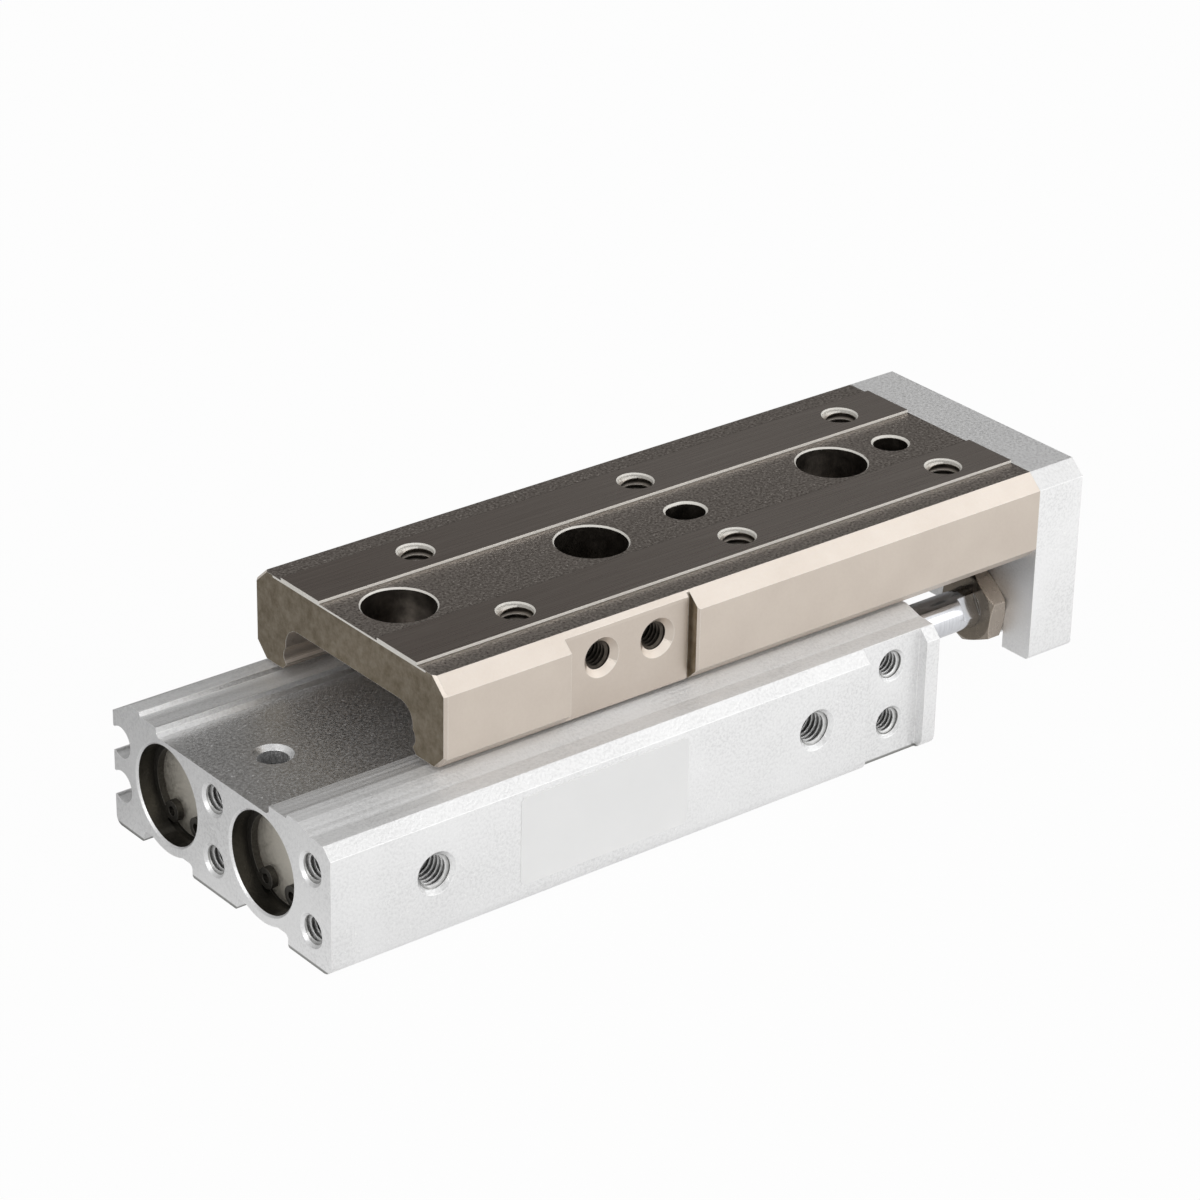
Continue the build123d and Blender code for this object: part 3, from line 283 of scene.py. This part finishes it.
def blasted_aluminium(name, light, dark, roughness, relief, holes, mouths=(), shelf=0.0, ridge=0.0, low=0.0):
    """Bead-blasted anodised aluminium: fine grain, a faint cloudiness, bright specks, edges paled by wear and
    painted highlight, painted shade in the holes and mouths.
    Level faces beyond shelf and ridge, in millimetres from the middle, are duller and paler. A shelf that
    doesn't start at the middle has lines along the bar. Below low, the sides get painted contact shadow
    where they meet what the part stands on."""
    graph = Graph(bpy.data.materials.new(name))
    cloud = graph.noise(11, detail=2)
    grain = graph.noise(0.42, detail=2, roughness=0.6)
    lines = graph.noise(0.5, detail=4, roughness=0.6, stretch=MILLED) if shelf else grain
    speck = graph.scale(graph.noise(0.38, detail=1), 0, 1, 0.70, 0.74)

    bright = graph.ramp(cloud, (0.94, 0.94, 0.935), (0.97, 0.97, 0.96))
    pits = graph.ramp(cloud, tinted(dark, 0.86), dark)
    color = graph.mix(graph.scale(grain, 1, 0, 0.36, 0.56), graph.ramp(cloud, dark, light), pits)
    color = graph.mix(speck, color, bright)
    # Edges paler, partly from wear and partly as painted highlight
    color = graph.mix(graph.edge_wear_and_highlight(0.15), color, bright)
    # Painted contact shadow along the foot of the sides, below low
    if low:
        shade = graph.ramp(cloud, (0.28, 0.28, 0.27), (0.36, 0.36, 0.35))
        color = graph.mix(graph.short_of(graph.along("Z"), 0.6 * low, 0.4 * low), color, shade)
    # Painted shade on the walls of the cylinders' mouths
    if mouths:
        painted_mouth_shade = graph.ramp(graph.noise(3.0, detail=2), (0.08, 0.075, 0.064), (0.12, 0.113, 0.097))
        color = graph.mix(graph.inside(mouths), color, painted_mouth_shade)
    # Painted shade on the walls of the holes, lighter on the threads' crests
    hole_shade_tone = (0.46, 0.46, 0.45)
    painted_hole_shade = graph.ramp(graph.noise(0.8, detail=2), tinted(hole_shade_tone, 0.6), hole_shade_tone)
    color = graph.mix(graph.inside(holes, crests=True), color, painted_hole_shade)

    level = graph.facing_up()
    away = graph.off_centre()
    on_shelf = graph.product(level, graph.beyond(away, shelf - BORDER, BORDER))
    on_ridge = graph.product(level, graph.beyond(away, ridge - BORDER, BORDER))
    side_rough = graph.scale(grain, roughness - 0.03, roughness + 0.05)
    floor_rough = graph.scale(grain, roughness - 0.09, roughness + 0.14)
    rough = graph.blend(level, side_rough, floor_rough)
    rough = graph.blend(on_shelf, rough, graph.scale(lines, 0.50, 0.68))
    metal = graph.blend(speck, 1.0, 0.55)
    metal = graph.blend(on_shelf, metal, graph.scale(lines, 0.86, 0.66))
    metal = graph.blend(on_ridge, metal, graph.scale(lines, 0.60, 0.28))
    graph.relief(grain, relief, 0.07, edge_mm=0.12)
    return graph.finish(color, rough, metal)


# Where the table's finish changes, in millimetres. The pads' steps are pale, as worn steel and painted
# highlight, down to STEP_DEPTH below the pads' tops and out to STEP_REACH from the middle, and the peel
# has painted shade at their feet.
STEP_DEPTH = 0.7
STEP_REACH = 17.0
FOOT_BAND = (5.6, 16.1)
FOOT_BORDER = 0.8

# The seat on the near side lies inward of SEAT_Y and under SEAT_TOP, and its face gets painted shade
SEAT_Y = -21.15
SEAT_TOP = 32.0

# The pads get lighter along this stretch, a painted sheen
PAINTED_SHEEN_START = -25.0
PAINTED_SHEEN_LENGTH = 60.0


def plated_steel(holes, deep_holes):
    """Nickel-plated table: smooth flanks, a stained rear end darkened further by painted shade, an
    orange-peel top, and pads on it that are ground along the travel."""
    graph = Graph(bpy.data.materials.new("table_nickel"))
    pad_top = NODES["slide_table"].bound_box[1][2] / MM
    height = graph.along("Z")
    away = graph.off_centre()
    up = graph.facing("Z")
    cloud = graph.noise(7, detail=3)
    peel = graph.noise(0.40, detail=2, roughness=0.6)
    streaks = graph.noise(0.35, detail=4, roughness=0.6, stretch=GROUND)
    fine = graph.noise(0.40, detail=3, roughness=0.65)
    speck = graph.scale(graph.noise(0.36, detail=1), 0, 1, 0.68, 0.72)

    # Masks of the kinds of face
    on_top = graph.facing_up()
    below_top = graph.calculate("SUBTRACT", 1.0, on_top)
    above_step = graph.beyond(height, pad_top - 0.2, 0.1)
    on_pad = graph.product(above_step, on_top)
    on_peel = graph.product(on_top, graph.calculate("SUBTRACT", 1.0, above_step))
    on_step = graph.product(graph.beyond(height, pad_top - STEP_DEPTH - 0.02, 0.04), below_top)
    on_step = graph.product(on_step, graph.short_of(away, STEP_REACH, BORDER))
    on_chamfer = graph.product(graph.scale(up, 0, 1, 0.3, 0.4), below_top)
    on_seat = graph.product(graph.facing_against("Y"), graph.short_of(height, SEAT_TOP, 0.1))
    on_seat = graph.product(on_seat, graph.beyond(graph.along("Y"), SEAT_Y, 0.1))
    # Where the peel gets painted shade, at the foot of the pads' steps
    foot_shade_mask = graph.product(
        graph.beyond(away, FOOT_BAND[0], FOOT_BORDER),
        graph.short_of(away, FOOT_BAND[1] - FOOT_BORDER, FOOT_BORDER),
    )

    # Sides
    flank = graph.ramp(cloud, (0.605, 0.535, 0.47), (0.64, 0.57, 0.50))
    # The table's chamfers are paler by painted highlight, for the light that they catch
    flank = graph.mix(on_chamfer, flank, graph.ramp(cloud, (0.90, 0.82, 0.74), (0.95, 0.875, 0.80)))
    # Painted shade on the seat's face
    flank = graph.mix(on_seat, flank, graph.ramp(cloud, (0.58, 0.51, 0.445), (0.61, 0.54, 0.475)))
    # The rear end: mottled staining, made darker still by painted shade
    stain_noise = graph.noise(2.0, detail=6, roughness=0.7)
    rear_stain_and_shade = graph.ramp(stain_noise, (0.215, 0.175, 0.12), (0.36, 0.31, 0.24), 0.35, 0.65)
    side = graph.mix(graph.facing_against("X"), flank, rear_stain_and_shade)

    # Top: painted shade on the peel at the foot of the steps, and a painted sheen on the pads, lighter
    # towards the plate
    peel_tone = graph.ramp(peel, (0.41, 0.355, 0.32), (0.82, 0.755, 0.70), 0.36, 0.66)
    painted_foot_shade = graph.ramp(peel, (0.10, 0.085, 0.07), (0.20, 0.175, 0.155), 0.36, 0.66)
    peel_tone = graph.mix(foot_shade_mask, peel_tone, painted_foot_shade)
    # Painted sheen: the pads lighter towards the plate
    pad_rear = graph.ramp(streaks, (0.50, 0.43, 0.39), (0.60, 0.53, 0.485), 0.2, 0.8)
    pad_painted_sheen = graph.ramp(streaks, (0.65, 0.58, 0.535), (0.76, 0.69, 0.64), 0.2, 0.8)
    pad_tone = graph.mix(graph.beyond(graph.along("X"), PAINTED_SHEEN_START, PAINTED_SHEEN_LENGTH), pad_rear, pad_painted_sheen)
    color = graph.mix(on_top, side, graph.mix(on_pad, peel_tone, pad_tone))

    # Edges and steps pale, partly as worn steel and partly as painted highlight, then painted shade on the
    # walls of the holes
    bare_and_highlit = graph.ramp(cloud, (0.82, 0.79, 0.735), (0.90, 0.875, 0.82))
    edges = graph.product(graph.edge_wear_and_highlight(0.10), below_top)
    color = graph.mix(graph.calculate("MAXIMUM", edges, on_step), color, bare_and_highlit)
    painted_hole_shade = graph.ramp(graph.noise(1.5, detail=2), (0.05, 0.043, 0.036), (0.11, 0.095, 0.08))
    color = graph.mix(graph.inside(holes, crests=True), color, painted_hole_shade)
    color = graph.mix(graph.inside(deep_holes), color, painted_hole_shade)

    flank_rough = graph.blend(on_chamfer, graph.scale(fine, 0.38, 0.50), graph.scale(fine, 0.55, 0.66))
    top_rough = graph.blend(on_pad, graph.scale(peel, 0.27, 0.40), graph.scale(streaks, 0.24, 0.34))
    rough = graph.blend(on_top, flank_rough, top_rough)
    metal = graph.blend(graph.product(speck, on_peel), 1.0, 0.6)
    metal = graph.blend(on_step, metal, 0.25)
    surface = graph.blend(on_top, fine, graph.blend(on_pad, peel, streaks))
    graph.relief(surface, graph.blend(on_peel, 0.40, 1.0), 0.06, edge_mm=0.06)
    return graph.finish(color, rough, metal)


def polished(name, light, dark, roughness, grain_mm, stretch=(1, 1, 1), edge_mm=0.08, rear=None):
    """Bright metal with fine marks of its making, edges paled by wear and painted highlight, and painted
    shade on the faces towards the rear, where rear gives their colour."""
    graph = Graph(bpy.data.materials.new(name))
    marks = graph.noise(grain_mm, detail=3, stretch=stretch)
    bright = tuple(min(0.95, part) for part in tinted(light, 1.7))
    color = graph.ramp(marks, dark, light)
    # Edges paler, partly from wear and partly as painted highlight
    color = graph.mix(graph.edge_wear_and_highlight(0.12), color, graph.ramp(marks, light, bright))
    # Painted shade on the faces that look towards the rear
    if rear:
        color = graph.mix(graph.facing_against("X"), color, graph.ramp(marks, tinted(rear, 0.7), rear))
    graph.relief(marks, 0.15, 0.01, edge_mm=edge_mm)
    return graph.finish(color, graph.scale(marks, roughness * 0.8, roughness * 1.3), 1.0)


def moulded(name, light, dark, roughness, grain_mm=0.4):
    """Rubber, resin or film with a faint grain."""
    graph = Graph(bpy.data.materials.new(name))
    grain = graph.noise(grain_mm, detail=3, roughness=0.6)
    color = graph.ramp(graph.noise(5, detail=2), dark, light)
    graph.relief(grain, 0.2, 0.02)
    return graph.finish(color, graph.scale(grain, roughness - 0.06, roughness + 0.06))


# Holes of the body whose walls get painted shade, darker than the faces round them. A port's wall starts
# below its cone, PORT_WALL from the middle of its depth, in millimetres.
PORT_WALL = 2.4
BODY_HOLES = bolt_holes("rear_bolts", 6.0) + bolt_holes("body_stop_bolts", 5.0)
for name in ("port_rear", "port_front"):
    port = MOUNTS[name]
    axis_point = Vector(port["pos_m"]) / MM
    BODY_HOLES.append(("Y", axis_point, port["dims"]["r_mm"], (axis_point.y - PORT_WALL, 0)))
for name in ("body_bolts_rear", "body_bolts_front"):
    BODY_HOLES += bolt_holes(name, 14.0)

# The cylinders' mouths, with painted shade from their rims to the caps and covers, in millimetres
BORE_RADIUS = 7.7
MOUTH_RIM = 0.3
REAR_MOUTH_DEPTH = 7.5
FRONT_MOUTH_DEPTH = 11.5
BODY_MOUTHS = []
body_rear = NODES["cylinder_body"].bound_box[0][0] / MM
body_front = NODES["cylinder_body"].bound_box[6][0] / MM
for name in ("piston_rod_near", "piston_rod_far"):
    corners = NODES[name].bound_box
    rod_axis = (Vector(corners[0]) + Vector(corners[6])) / 2 / MM
    for ends in (
        (body_rear + MOUTH_RIM, body_rear + REAR_MOUTH_DEPTH),
        (body_front - FRONT_MOUTH_DEPTH, body_front - MOUTH_RIM),
    ):
        BODY_MOUTHS.append(("X", rod_axis, BORE_RADIUS, ends))

# Holes of the table, and the slot that goes with its dowel hole, as round holes side by side, whose walls
# get painted shade. The rims, which stay bright, are in millimetres, and so are the slot's places.
TABLE_HOLES = bolt_holes("table_bolts", 6.8, mouth=0.8) + bolt_holes("table_bolts_middle", 6.8, mouth=0.8)
STOP_HOLES = bolt_holes("table_stop_bolts", 5.0, mouth=0.2)
ACCESS_RIM = 0.25
DOWEL_RIM = 0.4
SLOT_FROM_DOWEL = -38.0
SLOT_SPREAD = 0.45
SLOT_SPAN = (28.0, 32.82)
for name in ("access_hole_rear", "access_hole_middle", "access_hole_front", "table_dowel"):
    mount = MOUNTS[name]
    point = Vector(mount["pos_m"]) / MM
    half = mount["dims"]["length_mm"] / 2
    rim = DOWEL_RIM if name == "table_dowel" else ACCESS_RIM
    TABLE_HOLES.append(("Z", point, mount["dims"]["r_mm"], (point.z - half, point.z + half - rim)))
for offset in (-SLOT_SPREAD, 0.0, SLOT_SPREAD):
    point = Vector(MOUNTS["table_dowel"]["pos_m"]) / MM
    point.x += SLOT_FROM_DOWEL + offset
    TABLE_HOLES.append(("Z", point, MOUNTS["table_dowel"]["dims"]["r_mm"], SLOT_SPAN))

# Materials, by the record's slots
MATERIALS = {
    "body_aluminium": blasted_aluminium(
        "body_aluminium", (0.90, 0.90, 0.90), (0.87, 0.87, 0.87), 0.42, 0.7, BODY_HOLES, BODY_MOUTHS,
        shelf=12.9, ridge=16.7, low=0.5,
    ),
    "plate_aluminium": blasted_aluminium(
        "plate_aluminium", (0.90, 0.90, 0.90), (0.885, 0.885, 0.885), 0.50, 0.2,
        bolt_holes("plate_bolts", 8.3),
    ),
    "table_steel": plated_steel(TABLE_HOLES, STOP_HOLES),
    "guide_steel": polished("guide_steel", (0.60, 0.60, 0.61), (0.50, 0.50, 0.51), 0.28, 0.3, (0.05, 1, 1)),
    "ball_steel": polished("ball_steel", (0.80, 0.80, 0.81), (0.74, 0.74, 0.75), 0.08, 0.6),
    "rod_chrome": polished(
        "rod_chrome", (0.76, 0.77, 0.80), (0.68, 0.69, 0.72), 0.12, 0.25, (1, 0.1, 0.1),
        rear=(0.16, 0.135, 0.105),
    ),
    "fastener_steel": polished(
        "fastener_steel", (0.50, 0.44, 0.38), (0.46, 0.40, 0.345), 0.25, 2.0, edge_mm=0.25,
        rear=(0.24, 0.205, 0.165),
    ),
    # The circlips' near-black colour is painted shade, for the dark mouths round them
    "spring_steel": polished("spring_steel", (0.10, 0.095, 0.085), (0.05, 0.047, 0.042), 0.45, 0.3),
    "cap_metal": polished("cap_metal", (0.68, 0.645, 0.575), (0.60, 0.57, 0.505), 0.46, 0.3),
    "seal_rubber": moulded("seal_rubber", (0.035, 0.035, 0.035), (0.02, 0.02, 0.02), 0.55),
    "resin": moulded("resin", (0.06, 0.06, 0.065), (0.04, 0.04, 0.043), 0.45),
    "magnet": moulded("magnet", (0.06, 0.055, 0.055), (0.04, 0.037, 0.037), 0.6),
    "label": moulded("label", (0.96, 0.96, 0.955), (0.94, 0.94, 0.935), 0.40, 0.25),
}
SLOT_OF = {part["node"]: part["material_slot"] for part in frame["record"]["subparts"]}
for node_name, node in NODES.items():
    for slot in node.material_slots:
        slot.material = MATERIALS[SLOT_OF[node_name]]
    if not node.material_slots:
        node.data.materials.append(MATERIALS[SLOT_OF[node_name]])

# A thread's ridge, as shares of its pitch: its height, and half its width at the foot and at the crest
RIDGE_HEIGHT = 0.58
RIDGE_FOOT = 0.42
RIDGE_CREST = 0.10
STEPS_PER_TURN = 40


def thread(name, mouth, outward, size, depth, flare, start, body, slot_name):
    """The ridge of a thread inside a hole: a helix from start below the mouth down to depth. The mouth's
    cone cuts it off, whose radius at the mouth is flare. It tapers in where it starts clear of the mouth."""
    sunk = 0.03
    major, pitch = size
    count = int((depth - start) / pitch * STEPS_PER_TURN)
    run_in = 0.2 * STEPS_PER_TURN if start > 0.5 else 1
    run_out = 0.5 * STEPS_PER_TURN
    across = outward.orthogonal().normalized()
    beside = outward.cross(across)
    vertices = []
    faces = []
    for step in range(count + 1):
        angle = math.tau * step / STEPS_PER_TURN
        share = min(1.0, (count - step) / run_out, (step + 1) / run_in)
        crest = major - RIDGE_HEIGHT * pitch * max(share, 0.02)
        middle = start + pitch * step / STEPS_PER_TURN
        ray = math.cos(angle) * across + math.sin(angle) * beside
        foot = major + sunk
        profile = ((foot, -RIDGE_FOOT), (crest, -RIDGE_CREST), (crest, RIDGE_CREST), (foot, RIDGE_FOOT))
        for radius, offset in profile:
            down = max(0.03, middle + offset * pitch)
            radius = max(radius, flare - down - 0.01)
            vertices.append((mouth + ray * radius - outward * down) * MM)
        if step:
            for side in range(3):
                last = (step - 1) * 4 + side
                faces.append((last, last + 1, last + 5, last + 4))
    mesh = bpy.data.meshes.new(name)
    mesh.from_pydata(vertices, [], faces)
    mesh.update()
    ridge = bpy.data.objects.new(name, mesh)
    bpy.context.collection.objects.link(ridge)
    mesh.materials.append(MATERIALS[slot_name])
    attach(ridge, body)


# Threads: major radius and pitch, in millimetres
M4 = (2.0, 0.7)
M5 = (2.5, 0.8)

# Threads of the bolt patterns: mount, thread, depth, flare, start, body, material. Two patterns of the
# body share a hole, which gets one thread.
THREADED = [
    ("body_bolts_rear", M5, 8.0, 2.7, 0.08, "cylinder", "body_aluminium"),
    ("body_bolts_front", M5, 8.0, 2.7, 0.08, "cylinder", "body_aluminium"),
    ("table_bolts", M5, 6.7, 2.7, 0.75, "slide", "table_steel"),
    ("table_bolts_middle", M5, 6.7, 2.7, 0.75, "slide", "table_steel"),
    ("rear_bolts", M4, 6.0, 2.45, 0.08, "cylinder", "body_aluminium"),
    ("body_stop_bolts", M4, 5.0, 2.45, 0.08, "cylinder", "body_aluminium"),
    ("table_stop_bolts", M4, 4.5, 2.45, 0.08, "slide", "table_steel"),
    ("plate_bolts", M4, 8.2, 2.45, 0.08, "slide", "plate_aluminium"),
]
threaded_places = []
for mount_name, *measures in THREADED:
    points, normal = pattern_points(MOUNTS[mount_name])
    for point in points:
        place = tuple(round(value, 2) for value in point)
        if place not in threaded_places:
            threaded_places.append(place)
            thread(f"thread_{len(threaded_places)}", point, normal, *measures)
for mount_name in ("port_rear", "port_front"):
    mount = MOUNTS[mount_name]
    normal = Vector(mount["axis"])
    mouth = Vector(mount["pos_m"]) / MM + normal * mount["dims"]["length_mm"] / 2
    thread(f"thread_{mount_name}", mouth, normal, M5, 5.9, 3.1, 0.08, "cylinder", "body_aluminium")


def shaders_mixed(graph, share, first, second):
    """The first shader where the share is 0, the second where it is 1."""
    node = graph.add("ShaderNodeMixShader")
    graph.join(share, node.inputs["Fac"])
    graph.join(first, node.inputs[1])
    graph.join(second, node.inputs[2])
    return node.outputs[0]


def paper():
    """The lit floor under a plain glow: strong to the camera, and to reflections paler in front."""
    graph = Graph(bpy.data.materials.new("floor_paper"))
    graph.nodes.clear()
    lit = graph.add("ShaderNodeBsdfDiffuse")
    graph.join((0.62, 0.62, 0.62, 1), lit.inputs["Color"])
    glow = graph.add("ShaderNodeEmission")
    graph.join((1, 1, 1, 1), glow.inputs["Color"])
    rays = graph.add("ShaderNodeLightPath").outputs
    mirrored = graph.product(rays["Is Glossy Ray"], graph.scale(graph.along("Y"), 0.05, 0.98, 0.05, -0.06))
    straight = graph.calculate("MAXIMUM", rays["Is Camera Ray"], rays["Is Transmission Ray"])
    share = graph.calculate("MAXIMUM", graph.product(straight, 0.97), mirrored)
    surface = graph.add("ShaderNodeOutputMaterial")
    graph.join(shaders_mixed(graph, share, lit.outputs[0], glow.outputs[0]), surface.inputs["Surface"])
    return graph.owner


# Floor, which meets the base of the body
bpy.ops.mesh.primitive_plane_add(size=6, location=(0, 0, cad_low.z - 0.02 * MM))
floor = bpy.context.object
floor.name = "floor"
floor.data.materials.append(paper())


def studio():
    """White to the camera. To everything else it is a soft room with a dark wall behind the object, on
    the side that its level faces mirror to the camera."""
    dark_wall = Vector((0.56, 0.70, 0.45)).normalized()
    graph = Graph(bpy.data.worlds.new("studio"))
    graph.nodes.clear()
    direction = graph.add("ShaderNodeTexCoord")
    toward_wall = graph.add("ShaderNodeVectorMath", operation="DOT_PRODUCT")
    graph.join(direction.outputs["Generated"], toward_wall.inputs[0])
    graph.join(dark_wall, toward_wall.inputs[1])
    room = graph.ramp(toward_wall.outputs["Value"], (0.60, 0.60, 0.60), (0.125, 0.122, 0.118), 0.40, 0.88)
    room.node.color_ramp.interpolation = "EASE"
    soft = graph.add("ShaderNodeBackground")
    graph.join(room, soft.inputs["Color"])
    white = graph.add("ShaderNodeBackground")
    graph.join((1, 1, 1, 1), white.inputs["Color"])
    rays = graph.add("ShaderNodeLightPath")
    seen = shaders_mixed(graph, rays.outputs["Is Camera Ray"], soft.outputs[0], white.outputs[0])
    graph.join(seen, graph.add("ShaderNodeOutputWorld").inputs["Surface"])
    return graph.owner


bpy.context.scene.world = studio()


def softbox(name, toward, distance, width, height, power):
    """A rectangular lamp that faces the object from a direction."""
    light = bpy.data.lights.new(name, "AREA")
    light.shape = "RECTANGLE"
    light.size = width
    light.size_y = height
    light.energy = power
    lamp = bpy.data.objects.new(name, light)
    bpy.context.collection.objects.link(lamp)
    toward = Vector(toward).normalized()
    lamp.location = toward * distance
    lamp.rotation_mode = "QUATERNION"
    lamp.rotation_quaternion = toward.to_track_quat("Z", "Y")


softbox("key", (0.68, -0.58, 0.65), 1.2, 1.9, 1.0, 3.2)
softbox("front", (0.50, -0.90, 0.16), 1.5, 2.4, 1.0, 7.2)
softbox("left", (-0.9, -0.35, 0.55), 1.2, 0.7, 0.5, 2.6)

# Camera
azimuth = math.radians(CAMERA_AZIMUTH)
elevation = math.radians(CAMERA_ELEVATION)
back = Vector((
    math.sin(azimuth) * math.cos(elevation),
    -math.cos(azimuth) * math.cos(elevation),
    math.sin(elevation),
))
level = Vector((0, 0, 1)).cross(back).normalized()
upright = Matrix((level, back.cross(level), back)).transposed()
roll = Matrix.Rotation(math.radians(CAMERA_ROLL), 3, "Z")
camera_data = bpy.data.cameras.new("camera")
camera_data.lens = CAMERA_LENS
camera_data.sensor_width = 36
camera = bpy.data.objects.new("camera", camera_data)
bpy.context.collection.objects.link(camera)
camera.rotation_mode = "QUATERNION"
camera.rotation_quaternion = (upright @ roll).to_quaternion()
camera.location = Vector(CAMERA_AT) * MM
camera_data.clip_start = 0.01
camera_data.clip_end = 50
bpy.context.scene.camera = camera
bpy.context.scene.view_settings.view_transform = "Standard"
